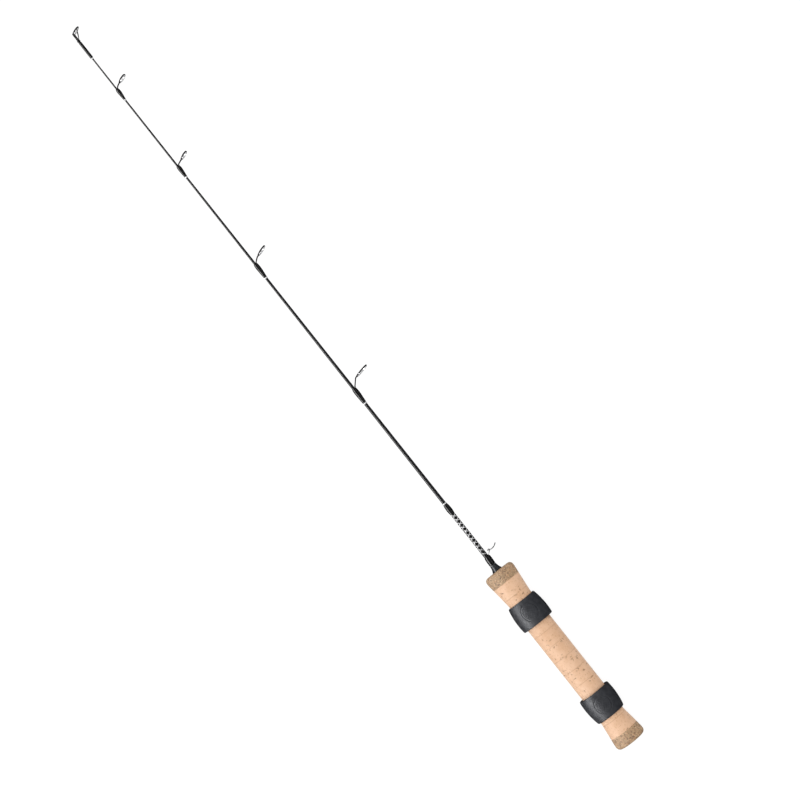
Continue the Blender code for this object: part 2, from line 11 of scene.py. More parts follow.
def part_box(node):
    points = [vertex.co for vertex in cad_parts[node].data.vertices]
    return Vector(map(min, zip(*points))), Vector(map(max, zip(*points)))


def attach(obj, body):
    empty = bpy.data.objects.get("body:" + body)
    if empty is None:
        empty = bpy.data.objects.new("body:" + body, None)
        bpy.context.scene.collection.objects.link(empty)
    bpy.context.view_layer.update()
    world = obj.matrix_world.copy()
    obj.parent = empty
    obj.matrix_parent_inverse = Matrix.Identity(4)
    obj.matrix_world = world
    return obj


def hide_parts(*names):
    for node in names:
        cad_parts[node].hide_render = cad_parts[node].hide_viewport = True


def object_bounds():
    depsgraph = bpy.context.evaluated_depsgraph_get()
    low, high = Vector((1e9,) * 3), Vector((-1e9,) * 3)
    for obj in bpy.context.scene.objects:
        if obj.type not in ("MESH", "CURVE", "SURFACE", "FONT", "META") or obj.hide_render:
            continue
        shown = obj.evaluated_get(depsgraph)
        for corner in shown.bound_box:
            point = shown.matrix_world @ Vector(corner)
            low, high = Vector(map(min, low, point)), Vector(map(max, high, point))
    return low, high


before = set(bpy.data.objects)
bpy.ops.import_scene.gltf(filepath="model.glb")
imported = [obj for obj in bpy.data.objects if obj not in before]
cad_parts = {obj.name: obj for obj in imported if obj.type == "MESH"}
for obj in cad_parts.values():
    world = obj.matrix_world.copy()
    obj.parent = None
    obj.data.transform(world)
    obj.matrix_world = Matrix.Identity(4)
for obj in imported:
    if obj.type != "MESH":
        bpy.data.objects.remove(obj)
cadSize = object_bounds()

# The rod lies on its side: X runs from the butt to the tip, the guides stand out towards -Y, +Z is up.
# "Height" is the distance from the blank's centre line towards the guides.
mm = 0.001


# looking on: camera, floor and light

viewing = {
    "lens": 92.5,
    "place": (0.19, -0.02295, 1.6),  # over the handle
    "aim": (0.3171, -0.02295, 0.0),
    "rodSlope": 51.595,  # degrees the rod runs below the view's horizontal, tip upper left
}


def addObject(name, data):
    made = bpy.data.objects.new(name, data)
    bpy.context.scene.collection.objects.link(made)
    return made


def placeCamera():
    camera = addObject("camera", bpy.data.cameras.new("camera"))
    camera.data.lens = viewing["lens"]
    camera.data.sensor_width = 36
    slope = math.radians(viewing["rodSlope"])
    place = Vector(viewing["place"])
    back = (place - Vector(viewing["aim"])).normalized()
    alongRod = Vector((back.z, 0, -back.x))
    guideSide = Vector((0, -1, 0))
    right = guideSide * math.sin(slope) - alongRod * math.cos(slope)
    up = alongRod * math.sin(slope) + guideSide * math.cos(slope)
    turn = Matrix((right, up, back)).transposed().to_4x4()
    camera.matrix_world = Matrix.Translation(place) @ turn
    bpy.context.scene.camera = camera


studio = {
    "middle": 0.35,
    "floorReach": 4.0,
    "floorColor": (0.13, 0.13, 0.13),
    "floorGlow": 0.91,
    "roomColor": (1.0, 1.0, 1.0),
    "roomStrength": 0.64,
    # name: place, width, height, brightness, lights surfaces, shows in glossy ones
    "lamps": {
        "sideStrip": ((0.5, 0.883, 0.469), 2.4, 0.34, 12.0, False, True),
        "farStrip": ((0.5, -0.559, 0.829), 2.2, 0.24, 1.0, False, True),
        "softSide": ((0.33, 0.95, 0.6), 1.7, 0.6, 1.1, True, False),
        "overhead": ((0.4, 0.2, 2.1), 2.4, 1.6, 1.6, True, False),
    },
}


def lightStudio():
    bm = bmesh.new()
    bmesh.ops.create_grid(bm, x_segments=8, y_segments=8, size=studio["floorReach"])
    mesh = bpy.data.meshes.new("floor")
    bm.to_mesh(mesh)
    bm.free()
    floor = addObject("floor", mesh)
    floor.location = (studio["middle"], 0, cadSize[0][2])
    paper, _, shader = startMaterial("floorPaper")
    setShader(shader, Base_Color=(*studio["floorColor"], 1), Roughness=0.9)
    setShader(shader, Emission_Color=(1, 1, 1, 1), Emission_Strength=studio["floorGlow"])
    floor.data.materials.append(paper)
    floor.visible_glossy = False
    floor.visible_shadow = False
    world = bpy.data.worlds.new("studioRoom")
    world.use_nodes = True
    room = world.node_tree.nodes["Background"]
    room.inputs["Color"].default_value = (*studio["roomColor"], 1)
    room.inputs["Strength"].default_value = studio["roomStrength"]
    bpy.context.scene.world = world
    world.cycles_visibility.glossy = False
    for name, (place, width, height, brightness, lights, shows) in studio["lamps"].items():
        lamp = bpy.data.lights.new(name, "AREA")
        lamp.shape = "RECTANGLE"
        lamp.size, lamp.size_y = width, height
        lamp.energy = brightness * math.pi * width * height
        holder = addObject(name, lamp)
        holder.visible_camera = False
        holder.visible_diffuse = lights
        holder.visible_glossy = shows
        towards = Vector((place[0], 0, 0)) - Vector(place)
        holder.matrix_world = Matrix.Translation(place) @ towards.to_track_quat("-Z", "Y").to_matrix().to_4x4()
    bpy.context.scene.view_settings.view_transform = "Standard"


# shared effects, each a node group

def startMaterial(name):
    material = bpy.data.materials.new(name)
    material.use_nodes = True
    return material, material.node_tree, material.node_tree.nodes["Principled BSDF"]


def startGroup(name, inputs, outputs):
    group = bpy.data.node_groups.new(name, "ShaderNodeTree")
    for label, value in inputs.items():
        socket = group.interface.new_socket(name=label, in_out="INPUT", socket_type="NodeSocketFloat")
        socket.default_value = value
    for label in outputs:
        group.interface.new_socket(name=label, in_out="OUTPUT", socket_type="NodeSocketFloat")
    return group, group.nodes.new("NodeGroupInput"), group.nodes.new("NodeGroupOutput")


def feed(socket, value):
    # value is another node's output, a color or a number
    if isinstance(value, bpy.types.NodeSocket):
        socket.id_data.links.new(value, socket)
    else:
        socket.default_value = (*value, 1) if isinstance(value, tuple) else value


def sumNode(tree, operation, *values):
    node = tree.nodes.new("ShaderNodeMath")
    node.operation = operation
    for socket, value in zip(node.inputs, values):
        feed(socket, value)
    return node.outputs[0]


def rangeNode(value, low, high, outLow=0.0, outHigh=1.0):
    node = value.id_data.nodes.new("ShaderNodeMapRange")
    node.interpolation_type = "SMOOTHSTEP"
    ends = {"Value": value, "From Min": low, "From Max": high, "To Min": outLow, "To Max": outHigh}
    for label, what in ends.items():
        feed(node.inputs[label], what)
    return node.outputs["Result"]


def surfacePlace(tree):
    coordinates = tree.nodes.new("ShaderNodeTexCoord")
    scale = tree.nodes.new("ShaderNodeVectorMath")
    scale.operation = "MULTIPLY"
    scale.inputs[1].default_value = [1 / mm] * 3
    feed(scale.inputs[0], coordinates.outputs["Object"])
    return scale.outputs["Vector"]  # in millimetres


# soft blotches of a given size in millimetres
def makeMottleGroup():
    values = {"Size": 4, "Roughness": 0.5, "Low": 0.35, "High": 0.65}
    group, given, out = startGroup("softMottle", values, ["Mask"])
    texture = group.nodes.new("ShaderNodeTexNoise")
    texture.inputs["Detail"].default_value = 4
    feed(texture.inputs["Vector"], surfacePlace(group))
    feed(texture.inputs["Scale"], sumNode(group, "DIVIDE", 1.0, given.outputs["Size"]))
    feed(texture.inputs["Roughness"], given.outputs["Roughness"])
    mask = rangeNode(texture.outputs["Fac"], given.outputs["Low"], given.outputs["High"])
    feed(out.inputs["Mask"], mask)
    return group


# small flecks: Size between them in millimetres, Share how big they are against it, Long how drawn out
def makeFleckGroup():
    group, given, out = startGroup("smallFlecks", {"Size": 1.2, "Share": 0.25, "Long": 1.0}, ["Mask"])
    stretch = group.nodes.new("ShaderNodeCombineXYZ")
    feed(stretch.inputs["X"], sumNode(group, "DIVIDE", 1.0, given.outputs["Long"]))
    stretch.inputs["Y"].default_value = 1
    stretch.inputs["Z"].default_value = 1
    place = group.nodes.new("ShaderNodeVectorMath")
    place.operation = "MULTIPLY"
    feed(place.inputs[0], surfacePlace(group))
    feed(place.inputs[1], stretch.outputs["Vector"])
    cells = group.nodes.new("ShaderNodeTexVoronoi")
    feed(cells.inputs["Vector"], place.outputs["Vector"])
    feed(cells.inputs["Scale"], sumNode(group, "DIVIDE", 1.0, given.outputs["Size"]))
    split = group.nodes.new("ShaderNodeSeparateColor")
    feed(split.inputs["Color"], cells.outputs["Color"])
    reach = sumNode(group, "MULTIPLY", given.outputs["Share"], split.outputs["Red"])
    inner = sumNode(group, "MULTIPLY", reach, 0.5)
    feed(out.inputs["Mask"], rangeNode(cells.outputs["Distance"], reach, inner))
    return group


# thread laid in turns round the blank, Pitch apart in millimetres; Tint differs from turn to turn
def makeThreadGroup():
    group, given, out = startGroup("threadTurns", {"Pitch": 0.2}, ["Rib", "Tint"])
    split = group.nodes.new("ShaderNodeSeparateXYZ")
    feed(split.inputs["Vector"], surfacePlace(group))
    around = sumNode(group, "ARCTAN2", split.outputs["Z"], split.outputs["Y"])
    turn = sumNode(group, "DIVIDE", around, 2 * math.pi)
    count = sumNode(group, "ADD", sumNode(group, "DIVIDE", split.outputs["X"], given.outputs["Pitch"]), turn)
    across = sumNode(group, "SUBTRACT", sumNode(group, "MULTIPLY", sumNode(group, "FRACT", count), 2.0), 1.0)
    rib = sumNode(group, "SQRT", sumNode(group, "SUBTRACT", 1.0, sumNode(group, "MULTIPLY", across, across)))
    shade = group.nodes.new("ShaderNodeTexWhiteNoise")
    shade.noise_dimensions = "1D"
    feed(shade.inputs["W"], sumNode(group, "FLOOR", count))
    feed(out.inputs["Rib"], rib)
    feed(out.inputs["Tint"], shade.outputs["Value"])
    return group


# where handling rubs a finish off: raised edges, broken up by noise
def makeRubGroup():
    group, given, out = startGroup("edgeRub", {"Edge": 0.52, "Patch": 1.5}, ["Mask"])
    shape = group.nodes.new("ShaderNodeNewGeometry")
    edge = rangeNode(shape.outputs["Pointiness"], given.outputs["Edge"], 0.62)
    texture = group.nodes.new("ShaderNodeTexNoise")
    feed(texture.inputs["Vector"], surfacePlace(group))
    feed(texture.inputs["Scale"], sumNode(group, "DIVIDE", 1.0, given.outputs["Patch"]))
    broken = rangeNode(texture.outputs["Fac"], 0.42, 0.6)
    feed(out.inputs["Mask"], sumNode(group, "MULTIPLY", edge, broken))
    return group


groups = {
    "mottle": makeMottleGroup(),
    "fleck": makeFleckGroup(),
    "thread": makeThreadGroup(),
    "rub": makeRubGroup(),
}
print("rod: shared effects ready")


def useGroup(tree, kind, **values):
    node = tree.nodes.new("ShaderNodeGroup")
    node.node_tree = groups[kind]
    for label, value in values.items():
        node.inputs[label].default_value = value
    return node.outputs


def mixColor(mask, first, second):
    node = mask.id_data.nodes.new("ShaderNodeMix")
    node.data_type = "RGBA"
    for place, value in (("Factor", mask), (6, first), (7, second)):
        feed(node.inputs[place], value)
    return node.outputs[2]


def partOf(mask, share):
    return sumNode(mask.id_data, "MULTIPLY", mask, share)


def addColor(shader, color):
    feed(shader.inputs["Base Color"], color)


def addRoughness(shader, mask, smooth, dull):
    feed(shader.inputs["Roughness"], rangeNode(mask, 0, 1, smooth, dull))


def addRelief(shader, height, strength, distance):
    bump = shader.id_data.nodes.new("ShaderNodeBump")
    bump.inputs["Strength"].default_value = strength
    bump.inputs["Distance"].default_value = distance
    feed(bump.inputs["Height"], height)
    feed(shader.inputs["Normal"], bump.outputs["Normal"])


def setShader(shader, **values):
    for label, value in values.items():
        shader.inputs[label.replace("_", " ")].default_value = value


# finishes

def makeCarbonGloss():
    finish = {
        "dark": (0.006, 0.006, 0.007), "light": (0.014, 0.014, 0.015), "smooth": 0.16, "dull": 0.3,
        "tapePitch": 2.6,  # of the tape wound round it in the mould, in millimetres
    }
    material, tree, shader = startMaterial("carbonGloss")
    mottle = useGroup(tree, "mottle", Size=1.4, Low=0.3, High=0.7)["Mask"]
    addColor(shader, mixColor(mottle, finish["dark"], finish["light"]))
    addRoughness(shader, mottle, finish["smooth"], finish["dull"])
    tape = useGroup(tree, "thread", Pitch=finish["tapePitch"])
    addRelief(shader, tape["Rib"], 0.02, 0.02 * mm)
    setShader(shader, Specular_IOR_Level=0.25, Coat_Weight=0.55, Coat_Roughness=0.03)
    return material


def makeThreadFinish(name, dark, light, metallic, pitch, relief, roughness=0.3):
    material, tree, shader = startMaterial(name)
    turns = useGroup(tree, "thread", Pitch=pitch)
    # painted shade: the grooves between the turns are coloured darker, down to 0.45 of the dark tint
    groove = rangeNode(turns["Rib"], 0.2, 0.8)
    body = mixColor(turns["Tint"], dark, light)
    addColor(shader, mixColor(groove, tuple(0.45 * c for c in dark), body))
    addRoughness(shader, useGroup(tree, "mottle", Size=0.6)["Mask"], roughness * 0.8, roughness * 1.25)
    addRelief(shader, turns["Rib"], relief, 0.05 * mm)
    setShader(shader, Metallic=metallic, Specular_IOR_Level=0.12, Coat_Weight=0.7, Coat_Roughness=0.02)
    return material


def makeFrameMetal():
    finish = {"dark": (0.012, 0.012, 0.013), "light": (0.03, 0.03, 0.032), "bare": (0.32, 0.31, 0.3)}
    material, tree, shader = startMaterial("blackedFrame")
    mottle = useGroup(tree, "mottle", Size=0.8, Low=0.3, High=0.7)["Mask"]
    rub = useGroup(tree, "rub", Edge=0.53, Patch=0.9)["Mask"]
    black = mixColor(mottle, finish["dark"], finish["light"])
    addColor(shader, mixColor(partOf(rub, 0.2), black, finish["bare"]))
    addRoughness(shader, mottle, 0.22, 0.36)
    addRelief(shader, mottle, 0.08, 0.03 * mm)
    setShader(shader, Metallic=0.85)
    return material


def makePolished(name, dark, light, smooth, dull, metallic):
    material, tree, shader = startMaterial(name)
    mottle = useGroup(tree, "mottle", Size=0.5, Low=0.25, High=0.75)["Mask"]
    addColor(shader, mixColor(mottle, dark, light))
    addRoughness(shader, mottle, smooth, dull)
    setShader(shader, Metallic=metallic)
    return material


# the marks on cork come with its mesh: red is a pit, coloured darker the deeper the pit is, partly the cork's
# own dark pit colour and partly painted shade; green the disc's own tone, blue a glue line
def makeCork():
    finish = {
        "pale": (0.79, 0.50, 0.32), "warm": (0.70, 0.41, 0.235), "stain": (0.55, 0.30, 0.15),
        "pitFillAndShade": (0.22, 0.11, 0.05), "glue": (0.55, 0.33, 0.18), "lightGrain": (0.87, 0.61, 0.41),
        "grainShare": 0.4, "stainShare": 0.5, "fleckShare": 0.6, "glueShare": 0.55,
    }
    material, tree, shader = startMaterial("naturalCork")
    marks = tree.nodes.new("ShaderNodeAttribute")
    marks.attribute_name = "corkMarks"
    split = tree.nodes.new("ShaderNodeSeparateColor")
    feed(split.inputs["Color"], marks.outputs["Color"])
    broad = useGroup(tree, "mottle", Size=5.5, Low=0.36, High=0.66)["Mask"]
    shade = sumNode(tree, "ADD", partOf(broad, 0.55), partOf(split.outputs["Green"], 0.45))
    body = mixColor(shade, finish["pale"], finish["warm"])
    grain = useGroup(tree, "mottle", Size=0.55, Roughness=0.7, Low=0.42, High=0.7)["Mask"]
    body = mixColor(partOf(grain, finish["grainShare"]), body, finish["lightGrain"])
    stain = useGroup(tree, "mottle", Size=2.1, Roughness=0.65, Low=0.56, High=0.72)["Mask"]
    body = mixColor(partOf(stain, finish["stainShare"]), body, finish["stain"])
    fleck = useGroup(tree, "fleck", Size=1.3, Share=0.45, Long=1.6)["Mask"]
    body = mixColor(partOf(fleck, finish["fleckShare"]), body, finish["stain"])
    # pits coloured dark: partly the cork's own pit colour, partly painted shade
    body = mixColor(split.outputs["Red"], body, finish["pitFillAndShade"])
    body = mixColor(partOf(split.outputs["Blue"], finish["glueShare"]), body, finish["glue"])
    addColor(shader, body)
    addRoughness(shader, grain, 0.62, 0.85)
    relief = sumNode(tree, "SUBTRACT", grain, fleck)
    addRelief(shader, relief, 0.35, 0.06 * mm)
    setShader(shader, Sheen_Weight=0.12, Sheen_Roughness=0.5)
    return material


granuleSize = 0.95  # of the burl cork, in millimetres


# ground cork pressed with a dark binder: every granule has its own colour
def makeBurl():
    finish = {
        "colors": ((0.0, (0.13, 0.07, 0.035)), (0.15, (0.32, 0.17, 0.085)), (0.4, (0.52, 0.32, 0.17)),
                   (0.6, (0.38, 0.25, 0.13)), (0.8, (0.66, 0.44, 0.26)), (1.0, (0.50, 0.26, 0.12))),
        "binder": (0.15, 0.09, 0.05), "binderShare": 0.6, "seamWidth": 0.09,
        "lightGrain": (0.62, 0.46, 0.31), "grainShare": 0.35, "fleck": (0.09, 0.055, 0.03), "fleckShare": 0.7,
    }
    material, tree, shader = startMaterial("burlCork")
    place = surfacePlace(tree)
    cells = tree.nodes.new("ShaderNodeTexVoronoi")
    seam = tree.nodes.new("ShaderNodeTexVoronoi")
    seam.feature = "DISTANCE_TO_EDGE"
    for texture in (cells, seam):
        texture.inputs["Scale"].default_value = 1 / granuleSize
        feed(texture.inputs["Vector"], place)
    split = tree.nodes.new("ShaderNodeSeparateColor")
    feed(split.inputs["Color"], cells.outputs["Color"])
    ramp = tree.nodes.new("ShaderNodeValToRGB")
    while len(ramp.color_ramp.elements) < len(finish["colors"]):
        ramp.color_ramp.elements.new(0.5)
    for element, (position, color) in zip(ramp.color_ramp.elements, finish["colors"]):
        element.position = position
        element.color = (*color, 1)
    feed(ramp.inputs["Fac"], split.outputs["Red"])
    grain = useGroup(tree, "mottle", Size=0.45, Roughness=0.7, Low=0.3, High=0.7)["Mask"]
    body = mixColor(partOf(grain, finish["grainShare"]), ramp.outputs["Color"], finish["lightGrain"])
    fleck = useGroup(tree, "fleck", Size=0.9, Share=0.4)["Mask"]
    body = mixColor(partOf(fleck, finish["fleckShare"]), body, finish["fleck"])
    edge = rangeNode(seam.outputs["Distance"], 0.0, finish["seamWidth"], 1.0, 0.0)
    body = mixColor(partOf(edge, finish["binderShare"]), body, finish["binder"])
    addColor(shader, body)
    addRoughness(shader, grain, 0.6, 0.85)
    addRelief(shader, sumNode(tree, "SUBTRACT", grain, edge), 0.4, 0.06 * mm)
    return material


def makeRubber(name, dark, light, worn, roughness):
    material, tree, shader = startMaterial(name)
    broad = useGroup(tree, "mottle", Size=3.2, Roughness=0.6, Low=0.3, High=0.7)["Mask"]
    fine = useGroup(tree, "mottle", Size=0.35, Roughness=0.6, Low=0.3, High=0.7)["Mask"]
    rub = useGroup(tree, "rub", Edge=0.515, Patch=1.6)["Mask"]
    body = mixColor(broad, dark, light)
    addColor(shader, mixColor(partOf(rub, 0.5), body, worn))
    addRoughness(shader, broad, roughness - 0.07, roughness + 0.07)
    addRelief(shader, fine, 0.2, 0.03 * mm)
    return material


finishes = {
    "carbon": makeCarbonGloss(),
    "black_thread": makeThreadFinish("blackWrap", (0.004, 0.004, 0.004), (0.012, 0.012, 0.013), 0.0, 0.18, 0.04),
    "cross_thread": makeThreadFinish("crossWrapSilver", (0.7, 0.7, 0.71), (0.92, 0.92, 0.93), 0.2, 0.2, 0.05),
    "silver_thread": makeThreadFinish("silverBand", (0.8, 0.8, 0.81), (0.95, 0.95, 0.96), 0.3, 0.27, 0.2),
    "black_frame": makeFrameMetal(),
    "polished_insert": makePolished("polishedInsert", (0.78, 0.78, 0.79), (0.9, 0.9, 0.91), 0.1, 0.2, 0.4),
    "steel_wire": makePolished("keeperWire", (0.16, 0.16, 0.165), (0.26, 0.26, 0.27), 0.3, 0.42, 0.6),
    "cork": makeCork(),
    "burl_cork": makeBurl(),
    "slip_ring_rubber": makeRubber("slipRingRubber", (0.023, 0.0245, 0.03), (0.034, 0.036, 0.0435),
                                   (0.12, 0.12, 0.13), 0.5),
    "check_rubber": makeRubber("windingCheck", (0.012, 0.014, 0.017), (0.022, 0.025, 0.03),
                               (0.08, 0.08, 0.09), 0.36),
}
print("rod: finishes ready,", len(finishes))


# making meshes

def turnAngles(sides):
    return np.arange(sides) * 2 * math.pi / sides


def ringRow(x, radius, sides, height=0.0):
    # radius is a number, or one for each corner round the rod, starting at the guides' side
    turn = turnAngles(sides)
    radius = np.broadcast_to(radius, (sides,))
    x = np.broadcast_to(x, (sides,))
    return np.stack([x, -(height + radius * np.cos(turn)), radius * np.sin(turn)], axis=1)


def skin(rows, loop=False):
    bm = bmesh.new()
    made = [[bm.verts.new(point) for point in row] for row in rows]
    pairs = list(zip(made, made[1:]))
    if loop:
        pairs.append((made[-1], made[0]))
    for row, following in pairs:
        for i in range(len(row)):
            j = (i + 1) % len(row)
            bm.faces.new((row[i], row[j], following[j], following[i]))
    if not loop:
        bm.faces.new(made[0])
        bm.faces.new(made[-1])
    bmesh.ops.recalc_face_normals(bm, faces=bm.faces)
    return bm


def shadeMesh(mesh, sharpAbove=40):
    mesh.shade_smooth()
    mesh.set_sharp_from_angle(angle=math.radians(sharpAbove))


def meshObject(name, bm, sharpAbove=40):
    mesh = bpy.data.meshes.new(name)
    bm.to_mesh(mesh)
    bm.free()
    shadeMesh(mesh, sharpAbove)
    return addObject(name, mesh)


def fitPiece(piece, body, slotName, *nodes):
    piece.data.materials.clear()
    piece.data.materials.append(finishes[slotName])
    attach(piece, body)
    if nodes:
        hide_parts(*nodes)


def weld(base, others):
    for other in others:
        joined = base.modifiers.new("weld", "BOOLEAN")
        joined.operation = "UNION"
        joined.solver = "EXACT"
        joined.object = other
    bpy.context.view_layer.update()
    mesh = bpy.data.meshes.new_from_object(base.evaluated_get(bpy.context.evaluated_depsgraph_get()))
    base.modifiers.clear()
    base.data = mesh
    for other in others:
        bpy.data.objects.remove(other)
    shadeMesh(mesh)
    return base


def through(values, share):
    # runs smoothly through (share, value) pairs, flat where they turn back
    places = [v[0] for v in values]
    k = min(max(sum(p <= share for p in places) - 1, 0), len(values) - 2)

    def slope(i):
        if i <= 0 or i >= len(values) - 1:
            j = min(max(i, 0), len(values) - 2)
            return (values[j + 1][1] - values[j][1]) / (values[j + 1][0] - values[j][0])
        before = (values[i][1] - values[i - 1][1]) / (values[i][0] - values[i - 1][0])
        after = (values[i + 1][1] - values[i][1]) / (values[i + 1][0] - values[i][0])
        return 0 if before * after <= 0 else 2 * before * after / (before + after)

    (a, low), (b, high) = values[k], values[k + 1]
    width = b - a
    t = min(max((share - a) / width, 0), 1)
    return (low * (1 + 2 * t) * (1 - t) ** 2 + slope(k) * width * t * (1 - t) ** 2
            + high * t * t * (3 - 2 * t) + slope(k + 1) * width * t * t * (t - 1))


def quarterTurn(rows=6):
    return [math.pi / 2 * k / rows for k in range(rows + 1)]


def lip(distance, size):
    # how full a coat is this far from its rounded end
    near = min(max(distance / size, 0), 1)
    return math.sqrt(max(0.0, 1 - (1 - near) ** 2))


# the blank

blankShape = {"tipRadius": 0.56 * mm, "sides": 48, "rows": 30, "edge": 0.15 * mm}
blankLow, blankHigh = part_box("blank")
buttRadius = blankHigh.z


def blankRadius(x):
    share = (x - blankLow.x) / (blankHigh.x - blankLow.x)
    return buttRadius + share * (blankShape["tipRadius"] - buttRadius)


def makeBlank():
    sides = blankShape["sides"]
    edge = blankShape["edge"]
    places = np.linspace(blankLow.x + edge, blankHigh.x - edge, blankShape["rows"])
    rows = [ringRow(blankLow.x, buttRadius - edge, sides)]
    rows += [ringRow(x, blankRadius(x), sides) for x in places]
    rows.append(ringRow(blankHigh.x, blankShape["tipRadius"] - edge, sides))
    fitPiece(meshObject("blankShaft", skin(rows)), "rod", "carbon", "blank")


# the cork handle

handle = {
    "rearFlare": (24.2 * mm, 4.8 * mm),  # where it starts, and where it is widest
    "frontFlare": (138.8 * mm, 161.2 * mm),
    "flareCurve": 1.05,
    "cornerRadius": 3.2 * mm,
    "sides": 240,
    "rowStep": 0.34 * mm,
    "seamChamfer": 0.1 * mm,
    "pits": 30,
    "clusters": 10,
    "pitLength": (0.4 * mm, 1.4 * mm),  # half of it
    "pitWidth": (0.22 * mm, 0.5 * mm),
    "pitDepth": (0.1 * mm, 0.3 * mm),
    "pitScatter": (2.4 * mm, 0.32),  # about its cluster, along the handle and round it in radians
    "pitMargin": 0.6 * mm,
    "glueLine": 0.14 * mm,
    "seamOverlap": 0.02 * mm,
    "discs": 12,
    "seed": 11,
}
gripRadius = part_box("cork_disc_06")[1].z
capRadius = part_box("butt_burl_cap")[1].z
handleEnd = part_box("front_burl_cap")[1].x


def outsideOfHandle(x):
    for start, widest in (handle["rearFlare"], handle["frontFlare"]):
        share = (x - start) / (widest - start)
        if share > 0:
            return gripRadius + (capRadius - gripRadius) * min(share, 1) ** handle["flareCurve"]
    return gripRadius


def corkDisc(number, chance):
    low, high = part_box(f"cork_disc_{number:02d}")
    sides = handle["sides"]
    chamfer = handle["seamChamfer"]
    start, end = low.x - handle["seamOverlap"], high.x + handle["seamOverlap"]
    steps = int((end - start) / handle["rowStep"])
    places = [start, start + chamfer] + list(np.linspace(start + chamfer, end - chamfer, steps)[1:-1])
    places += [end - chamfer, end]
    turn = turnAngles(sides)
    pits = []
    scatterAlong, scatterAround = handle["pitScatter"]
    homes = [(chance.uniform(start, end), chance.uniform(0, 2 * math.pi)) for _ in range(handle["clusters"])]
    for _ in range(handle["pits"]):
        angle = chance.choice((0, 90, 90)) + chance.gauss(0, 18)
        x, around = chance.choice(homes)
        x = min(max(x + chance.gauss(0, scatterAlong), start + handle["pitMargin"]), end - handle["pitMargin"])
        pits.append((
            x, around + chance.gauss(0, scatterAround), math.radians(angle),
            chance.uniform(*handle["pitLength"]), chance.uniform(*handle["pitWidth"]),
            chance.uniform(*handle["pitDepth"]) * chance.choice((0.4, 1, 1)),
        ))
    shade = chance.random()
    rows, marks = [], []
    for x in places:
        radius = outsideOfHandle(x)
        seam = math.exp(-(min(x - start, end - x) / handle["glueLine"]) ** 2)
        sunk = np.zeros(sides)
        pitted = np.zeros(sides)
        for px, around, lie, long, wide, deep in pits:
            along = x - px
            if abs(along) > 2.2 * long:
                continue
            across = (np.mod(turn - around + math.pi, 2 * math.pi) - math.pi) * radius
            u = (along * math.cos(lie) + across * math.sin(lie)) / long
            v = (-along * math.sin(lie) + across * math.cos(lie)) / wide
            mark = np.exp(-np.clip(u * u + v * v, 0, 30) ** 1.5)
            sunk = np.maximum(sunk, mark * deep)
            # deeper pits get a darker mark: partly the cork's own dark pit colour, partly painted shade
            pitted = np.maximum(pitted, mark * (deep / handle["pitDepth"][1]) ** 0.5)
        inset = chamfer if x in (start, end) else 0
        rows.append(ringRow(x, radius - sunk - inset, sides))
        marks.append(np.stack([pitted, np.full(sides, shade), np.full(sides, seam), np.ones(sides)], axis=1))
    bore = blankRadius(low.x) + 0.02 * mm
    for x in (end, start):
        rows.append(ringRow(x, bore, sides))
        marks.append(np.tile([0, shade, 0, 1], (sides, 1)))
    disc = meshObject(f"corkDisc{number:02d}", skin(rows, loop=True), 60)
    layer = disc.data.color_attributes.new("corkMarks", "FLOAT_COLOR", "POINT")
    layer.data.foreach_set("color", np.concatenate(marks).astype(np.float32).ravel())
    fitPiece(disc, "rod", "cork", f"cork_disc_{number:02d}")


burl = {"sides": 200, "step": 0.33 * mm, "cornerRows": 14, "depth": 0.07 * mm, "grooveWidth": 0.12}


def burlOutline(faceX, seamX):
    # from the middle of the flat face, round the corner and along to the seam
    inwards = 1 if seamX > faceX else -1
    corner = handle["cornerRadius"]
    widest = outsideOfHandle(faceX + inwards * corner)
    outline = [(faceX, r) for r in np.arange(0, widest - corner, burl["step"])[1:]]
    for a in quarterTurn(burl["cornerRows"]):
        outline.append((faceX + inwards * corner * (1 - math.cos(a)), widest - corner * (1 - math.sin(a))))
    steps = int((abs(seamX - faceX) - corner) / burl["step"])
    for x in np.linspace(faceX + inwards * corner, seamX, steps)[1:]:
        outline.append((x, outsideOfHandle(x)))
    return outline


def burlCap(name, node, faceX, seamX, bore):
    sides = burl["sides"]
    side = 1 if seamX > faceX else -1
    outline = [p for p in burlOutline(faceX, seamX) if p[1] > bore]
    rows = []
    for k, (x, radius) in enumerate(outline):
        nextX, nextR = outline[min(k + 1, len(outline) - 1)]
        lastX, lastR = outline[max(k - 1, 0)]
        along = Vector((nextX - lastX, nextR - lastR)).normalized()
        outX, outR = -along.y * side, along.x * side
        points = ringRow(x, radius, sides)
        reliefs = np.array([granuleRelief(p) for p in points])
        edge = min(1.0, (len(outline) - 1 - k) / 3)
        rows.append(ringRow(x + outX * reliefs * edge, radius + outR * reliefs * edge, sides))
    if bore:
        rows += [ringRow(x, bore, sides) for x in (seamX, faceX)]
    cap = meshObject(name, skin(rows, loop=bool(bore)), 70)
    fitPiece(cap, "rod", "burl_cork", node)


def granuleRelief(point):
    distances, _ = noise.voronoi(Vector(point) * 1000 / granuleSize)
    groove = math.exp(-((distances[1] - distances[0]) / burl["grooveWidth"]) ** 2)
    return -burl["depth"] * (groove + 0.3 * abs(noise.noise(Vector(point) * 900)))


def makeHandle():
    chance = random.Random(handle["seed"])
    for number in range(1, handle["discs"] + 1):
        corkDisc(number, chance)
    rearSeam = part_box("butt_burl_cap")[1].x
    burlCap("buttBurlCap", "butt_burl_cap", 0.0, rearSeam, 0)
    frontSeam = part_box("front_burl_cap")[0].x
    burlCap("frontBurlCap", "front_burl_cap", handleEnd, frontSeam, blankRadius(handleEnd) + 0.05 * mm)


# the slip rings

